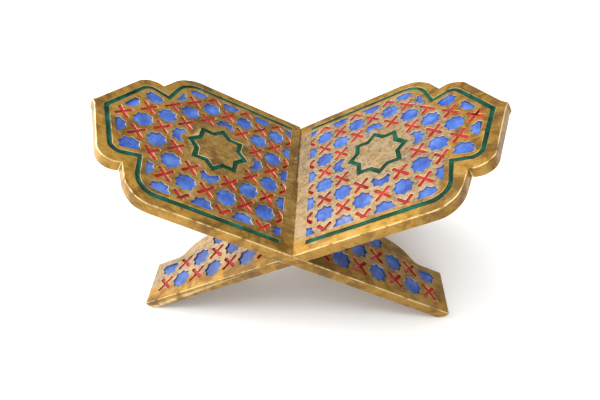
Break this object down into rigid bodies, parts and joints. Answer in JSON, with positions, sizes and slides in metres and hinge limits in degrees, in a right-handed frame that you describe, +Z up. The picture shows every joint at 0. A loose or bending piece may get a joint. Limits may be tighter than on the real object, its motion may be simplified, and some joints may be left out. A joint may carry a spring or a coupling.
{
  "type": "quran stand",
  "caption": "X-shaped book rest of two crossed, carved boards with painted star and cross recesses; the boards slide apart along the spine.",
  "frame": {"origin": "under the crossing, at the middle of the width, on the surface that the feet stand on", "axes": "+X towards the right wing, +Y along the spine to the back, +Z up"},
  "size_m": [0.4126, 0.203, 0.1985],
  "materials": {
    "gilded_wood": "carved wood under worn antique gold paint",
    "blue_paint": "brushed cobalt blue paint in the star recesses",
    "red_paint": "brushed red paint in the cross gouges",
    "green_paint": "brushed dark green paint in the line grooves"
  },
  "bodies": {
    "left_board": {"left_wing_board": "gilded_wood", "left_wing_stars": "blue_paint", "left_wing_crosses": "red_paint", "left_wing_border": "green_paint", "left_wing_medallion": "green_paint", "right_leg_stars": "blue_paint", "right_leg_crosses": "red_paint"},
    "right_board": {"right_wing_board": "gilded_wood", "right_wing_stars": "blue_paint", "right_wing_crosses": "red_paint", "right_wing_border": "green_paint", "right_wing_medallion": "green_paint", "left_leg_stars": "blue_paint", "left_leg_crosses": "red_paint"}
  },
  "joints": [
    {"name": "spine_slide", "type": "slide", "parent": "left_board", "child": "right_board", "axis": [0, 1, 0], "range_m": [0, 0.1015]}
  ]
}
